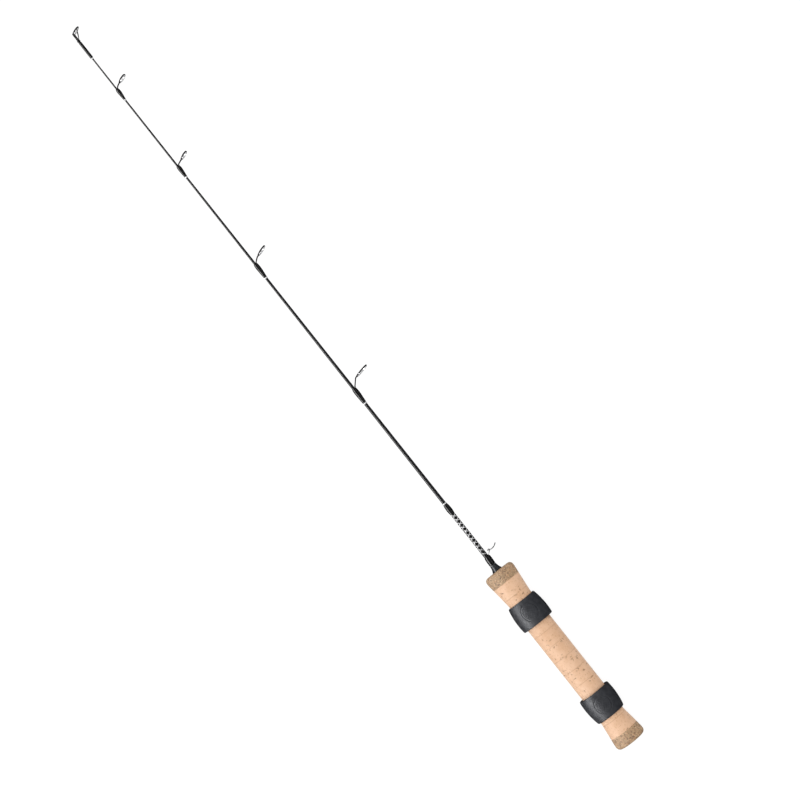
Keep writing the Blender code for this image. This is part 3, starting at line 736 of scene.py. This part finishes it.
slipRing = {
    "sides": 264,
    "step": 0.34 * mm,
    "mouthRadius": 13.5 * mm,
    "neckRadius": 12.25 * mm,
    "inside": 0.002 * mm,  # kept within the plain ring's widest part
    "bellyAt": 7.5 * mm,  # from the mouth
    "landAt": 10.4 * mm,
    "mouthBore": 12.0 * mm,
    "landGap": 0.1 * mm,
    "edge": 0.6 * mm,
    "badgeAt": 11.0 * mm,
    "badgeRadius": 6.8 * mm,
    "badgeDepth": 0.26 * mm,
    "badgeCell": 1.9 * mm,
    "badgeGroove": 0.42 * mm,
    "badgeMargin": 1.1 * mm,  # from the groove to the diamonds
}


def slipRingOutside(distance, belly):
    at = slipRing["bellyAt"]
    length = slipRing["length"]
    if distance < at:
        return belly - (belly - slipRing["mouthRadius"]) * (1 - distance / at) ** 2
    return belly - (belly - slipRing["neckRadius"]) * ((distance - at) / (length - at)) ** 2


def badgeDepth(distance, around):
    # a plain round panel: a groove round it, and small diamonds standing in it
    away = math.hypot(distance - slipRing["badgeAt"], around)
    radius = slipRing["badgeRadius"]
    groove = math.exp(-((away - radius) / slipRing["badgeGroove"]) ** 2)
    field = 1 / (1 + math.exp((away - radius + slipRing["badgeMargin"]) / (0.12 * mm)))
    cell = slipRing["badgeCell"]
    u = (distance + around) / cell
    v = (distance - around) / cell
    diamond = abs(math.sin(math.pi * u) * math.sin(math.pi * v)) ** 0.6
    return slipRing["badgeDepth"] * (groove + field * (1 - diamond) * 0.8)


def makeSlipRing(name, node, body, away):
    low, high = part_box(node)
    slipRing["length"] = high.x - low.x
    length, edge = slipRing["length"], slipRing["edge"]
    mouth = low.x if away > 0 else high.x
    belly = high.z - slipRing["inside"]
    land = gripRadius + slipRing["landGap"]
    sides = slipRing["sides"]
    rim, neck = slipRingOutside(0, belly), slipRingOutside(length, belly)
    corner = quarterTurn()
    # distance from the mouth, radius, and whether the badge reaches there
    outline = [(edge * (1 - math.cos(a)), rim - edge * (1 - math.sin(a)), 0) for a in corner]
    for d in np.arange(edge + slipRing["step"], length - edge, slipRing["step"]):
        outline.append((d, slipRingOutside(d, belly), 1))
    outline += [(length - edge * (1 - math.sin(a)), neck - edge * (1 - math.cos(a)), 0) for a in corner]
    outline += [(length, land + edge, 0), (length - edge * 0.3, land + edge * 0.3, 0), (length - edge, land, 0)]
    landAt, bore = slipRing["landAt"], slipRing["mouthBore"]
    outline += [(landAt, land, 0), (landAt * 0.5, (land + bore) / 2, 0)]
    outline += [(edge / 2, bore, 0), (0, bore + edge / 2, 0)]
    turn = turnAngles(sides)
    rows = []
    for d, radius, raised in outline:
        radii = np.full(sides, radius)
        if raised and abs(d - slipRing["badgeAt"]) < slipRing["badgeRadius"] + 1.5 * mm:
            fade = min(1, (d - edge) / mm, (length - edge - d) / mm)
            radii -= [fade * badgeDepth(d, (a - math.pi / 2) * radius) if 0 < a < math.pi else 0 for a in turn]
        rows.append(ringRow(mouth + away * d, radii, sides))
    fitPiece(meshObject(name, skin(rows, loop=True), 50), body, "slip_ring_rubber", node)


# windings

winding = {"step": 0.16 * mm, "boreGap": 0.01 * mm, "baseGap": 0.03 * mm}  # gaps to the blank


def coat(name, node, start, end, low, high, lips, sides=56):
    # low and high are (share, thickness over the blank) away from the guides and towards them
    steps = int((end - start) / winding["step"])
    corner = quarterTurn()[:-1]
    places = [start + lips[0] * (1 - math.cos(a)) for a in corner]
    places += list(np.linspace(start + lips[0], end - lips[1], steps))
    places += [end - lips[1] * (1 - math.cos(a)) for a in reversed(corner)]
    rows, inner = [], []
    for x in places:
        share = (x - start) / (end - start)
        full = lip(x - start, lips[0]) * lip(end - x, lips[1])
        blank = blankRadius(x)
        above = blank + (winding["baseGap"] + through(high, share) * full)
        below = blank + (winding["baseGap"] + through(low, share) * full)
        rows.append(ringRow(x, (above + below) / 2, sides, (above - below) / 2))
        inner.append(ringRow(x, blank + winding["boreGap"], sides))
    fitPiece(meshObject(name, skin(rows + inner[::-1], loop=True)), "rod", "black_thread", node)


guideWrap = {
    "radius": {1: 1.62 * mm, 2: 1.76 * mm, 3: 1.95 * mm, 4: 2.15 * mm},
    "lips": (0.15 * mm, 0.8 * mm),
    "thin": 0.27 * mm,  # where it runs out
    "sideLess": 0.18 * mm, "topMore": 0.2 * mm, "topLeast": 0.95 * mm,
}


def makeGuideWrap(number):
    low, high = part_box(f"guide_{number}_wrap")
    blank = blankRadius(low.x)
    radius = guideWrap["radius"][number]
    thin = guideWrap["thin"]
    side = radius - guideWrap["sideLess"] - blank
    top = max(radius + guideWrap["topMore"] - blank, guideWrap["topLeast"])
    below = [(0, thin), (0.2, thin + 0.35 * (side - thin)), (0.45, thin + 0.72 * (side - thin)), (0.7, side),
             (0.86, side * 0.85), (1, side * 0.35)]
    above = [(0, thin), (0.2, thin + 0.3 * (top - thin)), (0.45, thin + 0.75 * (top - thin)), (0.7, top),
             (0.86, top * 0.92), (1, top * 0.62)]
    coat(f"guideWrap{number}", f"guide_{number}_wrap", low.x, high.x, below, above, guideWrap["lips"])


band = {
    "turns": 4, "rowsPerTurn": 8, "sides": 48,
    "thickness": 0.26 * mm, "groove": 0.07 * mm, "lip": 0.1 * mm,
}


def makeBand(name, node):
    low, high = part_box(node)
    sides, turns = band["sides"], band["turns"]
    steps = turns * band["rowsPerTurn"]
    rows, inner = [], []
    for k in range(steps + 1):
        share = k / steps
        x = low.x + share * (high.x - low.x)
        ridge = abs(math.sin(math.pi * turns * share)) ** 0.5
        ends = lip(x - low.x, band["lip"]) * lip(high.x - x, band["lip"])
        thickness = (band["thickness"] - band["groove"] * (1 - ridge)) * ends
        rows.append(ringRow(x, blankRadius(x) + winding["baseGap"] + thickness, sides))
        inner.append(ringRow(x, blankRadius(x) + winding["boreGap"], sides))
    fitPiece(meshObject(name, skin(rows + inner[::-1], loop=True)), "rod", "silver_thread", node)


foreWindings = {
    "hosel": 2.7 * mm, "hoselRaised": 0.4 * mm, "cross": 1.82 * mm, "fore": 2.28 * mm,
    "diamonds": 11,  # along the decorated length
    "threadsInCross": 3, "threadWidth": 0.19 * mm, "threadLift": 0.07 * mm,
    "rowsPerTurn": 72, "threadSides": 8, "crossMargin": 0.3 * mm,
    "shortLip": 0.1 * mm, "foreEndLip": 0.12 * mm, "hoselLips": (0.2 * mm, 0.7 * mm),
}


def makeForeWindings():
    low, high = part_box("hosel_wrap")
    blank = blankRadius(low.x)
    radius = foreWindings["hosel"] - blank
    raised = foreWindings["hoselRaised"]
    below = [(0, radius - 0.12 * mm), (0.15, radius), (0.6, radius - 0.1 * mm), (0.85, radius - 0.35 * mm),
             (1, radius - 0.75 * mm)]
    above = [(0, radius - 0.12 * mm), (0.15, radius), (0.6, radius + 0.2 * mm), (0.85, radius + raised * 0.6),
             (1, radius + 0.1 * mm)]
    coat("hoselWrap", "hosel_wrap", low.x, high.x, below, above, foreWindings["hoselLips"])
    short, margin = foreWindings["shortLip"], foreWindings["crossMargin"]
    start, end = high.x - 0.05 * mm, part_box("cross_wrap")[1].x
    base = foreWindings["cross"] - blankRadius(end) - winding["baseGap"]
    even = [(0, base), (1, base)]
    coat("crossWrapBase", "cross_wrap", start, end, even, even, (short, short))
    makeCrossThreads(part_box("cross_wrap")[0].x + margin, end - margin)
    low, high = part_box("fore_wrap")
    ends = foreWindings["cross"] + 0.02 * mm - blankRadius(low.x)
    full = foreWindings["fore"] - blankRadius(low.x)
    swell = [(0, ends), (0.15, ends + (full - ends) * 0.55), (0.45, full), (0.8, ends + (full - ends) * 0.55),
             (1, ends - 0.12 * mm)]
    coat("foreWrap", "fore_wrap", low.x - 0.1 * mm, high.x, swell, swell, (short, foreWindings["foreEndLip"]))
    makeBand("foreBand", "fore_band")


def makeCrossThreads(start, end):
    # silver threads laid both ways round the black ones, so that they cross in diamonds
    count = foreWindings["threadsInCross"]
    width, lift = foreWindings["threadWidth"], foreWindings["threadLift"]
    turns = foreWindings["diamonds"] / 2
    steps = int(turns * foreWindings["rowsPerTurn"])
    section = [2 * math.pi * s / foreWindings["threadSides"] for s in range(foreWindings["threadSides"])]
    bm = bmesh.new()
    for hand, begin, strand in itertools.product((-1, 1), (0, math.pi), range(count)):
        shift = (strand - (count - 1) / 2) * width
        radius = foreWindings["cross"] + (0.4 if hand > 0 else 0.15) * lift
        slope = math.atan2((end - start) / turns, hand * 2 * math.pi * radius)
        rows = []
        for k in range(steps + 1):
            share = k / steps
            a = begin + hand * 2 * math.pi * turns * share
            out = Vector((0, -math.cos(a), math.sin(a)))
            around = Vector((0, math.sin(a), math.cos(a)))
            along = (Vector((1, 0, 0)) * math.sin(slope) + around * math.cos(slope)).normalized()
            across = along.cross(out)
            middle = Vector((start + share * (end - start), 0, 0)) + out * radius + across * shift
            rows.append([
                middle + across * math.cos(b) * width / 2 + out * math.sin(b) * lift for b in section])
        strandMesh = bpy.data.meshes.new("strand")
        made = skin(rows)
        made.to_mesh(strandMesh)
        made.free()
        bm.from_mesh(strandMesh)
        bpy.data.meshes.remove(strandMesh)
    fitPiece(meshObject("crossThreads", bm, 60), "rod", "cross_thread")


check = {"wide": 4.4 * mm, "narrow": 2.75 * mm, "lip": 0.25 * mm, "chamfer": 0.15 * mm, "sides": 96, "rows": 24}


def makeCheck():
    low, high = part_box("winding_check")
    sides = check["sides"]
    length = high.x - low.x
    outline = [(low.x, check["wide"] - check["lip"])]
    for k in range(check["rows"] + 1):
        share = k / check["rows"]
        x = low.x + check["lip"] * 0.6 + share * (length - check["lip"])
        outline.append((x, check["narrow"] + (check["wide"] - check["narrow"]) * (1 - share) ** 2))
    bore = blankRadius(low.x) + 0.03 * mm
    outline += [(high.x, check["narrow"] - check["chamfer"]), (high.x, bore), (low.x, bore)]
    rows = [ringRow(x, r, sides) for x, r in outline]
    fitPiece(meshObject("windingCheck", skin(rows, loop=True)), "rod", "check_rubber", "winding_check")


# guides

guides = {
    "lean": {1: 19, 2: 21, 3: 19, 4: 12},
    "hoopWall": 0.6 * mm, "hoopDepth": 1.0 * mm, "hoopCorner": 0.2 * mm,
    "insertWall": 0.65 * mm, "insertDepth": 1.3 * mm, "insertShift": -0.15 * mm, "seatGap": 0.04 * mm,
    "footThickness": 0.45 * mm, "footFrom": 0.45, "footWidth": 1.4 * mm,
    "footTip": (0.8 * mm, 0.3 * mm),  # width and thickness
    "footRaised": 0.06 * mm,
    "legThickness": 0.95 * mm, "legTopWidth": 1.8 * mm, "legSquareness": 3.4, "legBend": 1.1 * mm,
    "bendAhead": 0.45 * mm,  # of the wrap's end
    "legBelow": 1.0 * mm, "legInto": 0.35 * mm,  # where it meets the ring
    "tucked": 0.04 * mm,  # how far a ring stays inside the plain one
    "sides": 112,
}


def roundedSection(halfX, inner, outer, corner, steps=4):
    # a rectangle in (along the axis, radius) with rounded corners
    points = []
    for cx, cr, begin in ((halfX, outer, 0), (-halfX, outer, 90), (-halfX, inner, 180), (halfX, inner, 270)):
        midX = cx - math.copysign(corner, cx)
        midR = outer - corner if cr == outer else inner + corner
        for k in range(steps + 1):
            a = math.radians(begin + 90 * k / steps)
            points.append((midX + corner * math.cos(a), midR + corner * math.sin(a)))
    return points


def turnedRing(name, section, place):
    rows = [[place @ Vector(p) for p in ringRow(x, r, guides["sides"])] for x, r in section]
    return meshObject(name, skin(rows, loop=True), 50)


def makeInsert(name, node, seat, place):
    outer = seat - guides["seatGap"]
    half = guides["insertDepth"] / 2
    wall = guides["insertWall"]
    points = [(-0.7 * half, outer), (0.7 * half, outer), (half * 0.95, outer - 0.12 * wall)]
    for k in range(17):
        a = math.pi * k / 16
        points.append((half * math.cos(a), outer - 0.3 * wall - 0.7 * wall * math.sin(a)))
    points.append((-half * 0.95, outer - 0.12 * wall))
    ring = turnedRing(name, [(guides["insertShift"] + x, r) for x, r in points], place)
    fitPiece(ring, "rod", "polished_insert", node)


def ringPlace(node, lean):
    low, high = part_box(node)
    radius = high.z
    half = guides["hoopDepth"] / 2
    top = -low.y
    centreX = high.x - radius * math.sin(lean) - half * math.cos(lean) + guides["tucked"]
    centreHeight = top - radius * math.cos(lean) - half * math.sin(lean) + guides["tucked"]
    return radius, centreX, centreHeight


def smoothPath(corners, cut, steps=10):
    path = [corners[0]]
    for before, corner, after in zip(corners, corners[1:], corners[2:]):
        start = corner + (before - corner).normalized() * min(cut, (before - corner).length * 0.45)
        end = corner + (after - corner).normalized() * min(cut, (after - corner).length * 0.45)
        for k in range(steps + 1):
            t = k / steps
            path.append(start * (1 - t) ** 2 + corner * 2 * t * (1 - t) + end * t * t)
    path.append(corners[-1])
    return path


def sweep(name, path, widths, thicknesses, sides=20, power=2.0):
    # a bar swept along a path; power 2 is a round or oval section, and more is squarer
    lengths = [0.0]
    for a, b in zip(path, path[1:]):
        lengths.append(lengths[-1] + (b - a).length)
    rows = []
    for i, point in enumerate(path):
        along = (path[min(i + 1, len(path) - 1)] - path[max(i - 1, 0)]).normalized()
        side = Vector((0, 0, 1))
        side = (side - along * side.dot(along)).normalized()
        up = along.cross(side)
        share = lengths[i] / lengths[-1]
        w, t = through(widths, share) / 2, through(thicknesses, share) / 2
        row = []
        for k in range(sides):
            a = 2 * math.pi * (k + 0.5) / sides
            c, s = math.cos(a), math.sin(a)
            row.append(point + side * w * math.copysign(abs(c) ** (2 / power), c)
                       + up * t * math.copysign(abs(s) ** (2 / power), s))
        rows.append(row)
    return meshObject(name, skin(rows), 50)


def heightPoint(x, height, z=0.0):
    return Vector((x, -height, z))


def makeGuide(number):
    lean = math.radians(guides["lean"][number])
    frameNode, insertNode = f"guide_{number}_frame", f"guide_{number}_insert"
    radius, centreX, centreHeight = ringPlace(frameNode, lean)
    place = Matrix.Translation(heightPoint(centreX, centreHeight)) @ Matrix.Rotation(lean, 4, "Z")
    inner = radius - guides["hoopWall"]
    section = roundedSection(guides["hoopDepth"] / 2, inner, radius, guides["hoopCorner"])
    hoop = turnedRing("hoop", section, place)
    upRing = Vector((math.sin(lean), -math.cos(lean), 0))
    low = heightPoint(centreX, centreHeight) - upRing * radius
    wrapLow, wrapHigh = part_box(f"guide_{number}_wrap")
    height = blankRadius(wrapLow.x) + guides["footRaised"] + guides["footThickness"] / 2
    footX = wrapLow.x + guides["footFrom"] * (wrapHigh.x - wrapLow.x)
    corners = [heightPoint(footX, height), heightPoint(wrapHigh.x + guides["bendAhead"], height)]
    corners += [low - upRing * guides["legBelow"], low + upRing * guides["legInto"]]
    thin, thick, wide = guides["footThickness"], guides["legThickness"], guides["footWidth"]
    tipWidth, tipThickness = guides["footTip"]
    path = smoothPath(corners, guides["legBend"])
    hidden = (wrapHigh.x - footX) / sum((b - a).length for a, b in zip(path, path[1:]))
    widths = [(0, tipWidth), (0.3, wide), (0.8, wide), (1, guides["legTopWidth"])]
    thicknesses = [(0, tipThickness), (0.3, thin), (hidden - 0.06, thin), (hidden + 0.03, thick), (1, thick)]
    leg = sweep(f"guideFrame{number}", path, widths, thicknesses, power=guides["legSquareness"])
    fitPiece(weld(leg, [hoop]), "rod", "black_frame", frameNode)
    makeInsert(f"guideInsert{number}", insertNode, inner, place)
    makeGuideWrap(number)
    makeBand(f"guideBand{number}", f"guide_{number}_band")


# the tip-top

tipTop = {
    "ring": 8.3 * mm, "lean": 20, "low": -0.8 * mm, "turned": 12,
    "collar": (700.0 * mm, 701.6 * mm), "collarRadius": 1.35 * mm, "collarEdge": 0.12 * mm, "collarRows": 12,
    "braceWire": 0.3 * mm, "braceAt": 72, "braceIn": 0.12 * mm, "braceRows": 24,
    "braceFoot": (0.25 * mm, 1.32 * mm),  # height, and distance from the middle
    "braceBow": 0.9 * mm,
    "wrapRadius": 1.25 * mm, "wrapLips": (0.15 * mm, 0.3 * mm),
    "tubeEdge": 0.12 * mm, "tubeSides": 48,
}


def makeTipTop():
    radius = tipTop["ring"] / 2
    lean = math.radians(tipTop["lean"])
    half = guides["hoopDepth"] / 2
    lowX = cadSize[1][0] - 2 * radius * math.sin(lean) - half * math.cos(lean) + guides["tucked"]
    turn = Matrix.Rotation(math.radians(tipTop["turned"]), 4, "X")
    centre = heightPoint(lowX + radius * math.sin(lean), tipTop["low"] + radius * math.cos(lean))
    place = turn @ Matrix.Translation(centre) @ Matrix.Rotation(lean, 4, "Z")
    inner = radius - guides["hoopWall"]
    section = roundedSection(half, inner, radius, guides["hoopCorner"])
    hoop = turnedRing("tipTopFrame", section, place)
    tubeLow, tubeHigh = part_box("tip_top_tube")
    tubeRadius = tubeHigh.z
    collarStart, collarEnd = tipTop["collar"]
    collarRadius = tipTop["collarRadius"]
    sides, edge = tipTop["tubeSides"], tipTop["collarEdge"]
    rows = [ringRow(collarStart, tubeRadius + 0.02 * mm, sides)]
    for k in range(tipTop["collarRows"] + 1):
        a = math.pi * k / tipTop["collarRows"]
        x = (collarStart + collarEnd) / 2 - (collarEnd - collarStart) / 2 * math.cos(a)
        swell = (collarRadius - tubeRadius - edge) * math.sin(a) ** 0.5
        rows.append(ringRow(x, tubeRadius + edge + swell, sides))
    rows.append(ringRow(collarEnd, tubeRadius + 0.02 * mm, sides))
    collar = meshObject("collar", skin(rows, loop=True), 50)
    braces = [tipBrace(side, lowX, turn) for side in (-1, 1)]
    fitPiece(weld(hoop, [collar] + braces), "rod", "black_frame", "tip_top_frame")
    makeInsert("tipTopInsert", "tip_top_insert", inner, place)
    bore = blankRadius(tubeLow.x) + 0.02 * mm
    edge = tipTop["tubeEdge"]
    outline = [(tubeLow.x, bore), (tubeLow.x, tubeRadius - edge), (tubeLow.x + edge, tubeRadius)]
    outline += [(tubeHigh.x - edge, tubeRadius), (tubeHigh.x, tubeRadius - edge), (tubeHigh.x, bore)]
    tube = meshObject("tipTopTube", skin([ringRow(x, r, sides) for x, r in outline], loop=True), 50)
    fitPiece(tube, "rod", "black_frame", "tip_top_tube")
    low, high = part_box("tip_top_wrap")
    blank = blankRadius(low.x)
    full = tipTop["wrapRadius"] - blank
    grown = blank - blankRadius(high.x)
    coats = [(0, 0.84 * full), (0.1, full), (0.5, full + 0.5 * grown), (1, full + grown - 0.03 * mm)]
    coat("tipTopWrap", "tip_top_wrap", low.x, high.x, coats, coats, tipTop["wrapLips"], sides)
    makeBand("tipTopBand", "tip_top_band")


def tipBrace(side, lowX, turn):
    lean = math.radians(tipTop["lean"])
    at = math.radians(tipTop["braceAt"])
    radius = tipTop["ring"] / 2
    reach = radius - tipTop["braceIn"]
    up = radius + reach * math.cos(at)
    topHeight = tipTop["low"] + up * math.cos(lean)
    top = heightPoint(lowX + up * math.sin(lean), topHeight, side * reach * math.sin(at))
    footHeight, footOut = tipTop["braceFoot"]
    foot = heightPoint(sum(tipTop["collar"]) / 2, footHeight, side * footOut)
    middle = (top + foot) / 2 + heightPoint(0, tipTop["braceBow"])
    middle.z = 0.92 * top.z
    path = []
    for k in range(tipTop["braceRows"] + 1):
        t = k / tipTop["braceRows"]
        path.append(turn @ (foot * (1 - t) ** 2 + middle * 2 * t * (1 - t) + top * t * t))
    wire = [(0, 2 * tipTop["braceWire"]), (1, 2 * tipTop["braceWire"])]
    return sweep("brace", path, wire, wire, sides=16)


# the folding hook keeper

keeper = {
    "pivot": (182.8 * mm, 4.6 * mm), "wire": 0.4 * mm, "ring": 3.7 * mm, "bow": 1.1 * mm, "lean": 10,
    "eyeTurn": 0.82 * mm, "eyeFrom": 147, "eyeTo": -138,
    "strapWidth": 1.5 * mm, "strapThickness": 0.5 * mm, "strapBend": 0.8 * mm,
    "footWidth": 0.9 * mm, "footThickness": 0.4 * mm, "footInset": 1.5 * mm, "footRaised": 0.36 * mm,
    "eyeRows": 32, "ringRows": 96, "wireSides": 18,
}


def makeKeeper():
    pivotX, pivotHeight = keeper["pivot"]
    low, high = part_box("hosel_wrap")
    footX = low.x + keeper["footInset"]
    height = blankRadius(footX) + keeper["footRaised"]
    eye = keeper["eyeTurn"]
    turn = []
    for k in range(keeper["eyeRows"] + 1):
        a = math.radians(keeper["eyeFrom"] + (keeper["eyeTo"] - keeper["eyeFrom"]) * k / keeper["eyeRows"])
        turn.append(heightPoint(pivotX + eye * math.cos(a), pivotHeight + eye * math.sin(a)))
    before = [heightPoint(footX, height), heightPoint(high.x + 0.06 * mm, height), turn[0]]
    path = smoothPath(before, keeper["strapBend"])[:-1] + turn
    foot, wide, thick = keeper["footWidth"], keeper["strapWidth"], keeper["strapThickness"]
    widths = [(0, foot), (0.25, foot), (0.5, wide), (1, wide)]
    thicknesses = [(0, keeper["footThickness"]), (0.25, thick), (1, thick)]
    bracket = sweep("keeperBracket", path, widths, thicknesses, sides=24, power=4)
    fitPiece(bracket, "rod", "steel_wire", "keeper_bracket")
    turned = Matrix.Rotation(math.radians(keeper["lean"]), 4, "Z")
    place = Matrix.Translation(heightPoint(pivotX, pivotHeight)) @ turned
    rows = []
    radius, wire = keeper["ring"], keeper["wire"]
    section = [2 * math.pi * s / keeper["wireSides"] for s in range(keeper["wireSides"])]
    for k in range(keeper["ringRows"]):
        a = 2 * math.pi * k / keeper["ringRows"]
        out = Vector((0, -math.cos(a), math.sin(a)))
        bow = -keeper["bow"] * math.sin(a) ** 2
        centre = out * radius + Vector((bow, -radius, 0))
        rows.append([
            place @ (centre + out * wire * math.cos(b) + Vector((wire * math.sin(b), 0, 0))) for b in section])
    ring = meshObject("keeperRing", skin(rows, loop=True), 60)
    fitPiece(ring, "hook_ring", "steel_wire", "keeper_ring")


placeCamera()
lightStudio()
print("rod: camera and studio ready")
makeBlank()
print("rod: blank made")
makeHandle()
print("rod: cork handle made")
makeSlipRing("frontSlipRing", "front_slip_ring", "front_ring", 1)
makeSlipRing("rearSlipRing", "rear_slip_ring", "rear_ring", -1)
print("rod: slip rings made")
makeCheck()
makeForeWindings()
makeKeeper()
print("rod: windings and keeper made")
for guideNumber in guides["lean"]:
    makeGuide(guideNumber)
makeTipTop()
print("rod: guides and tip-top made")
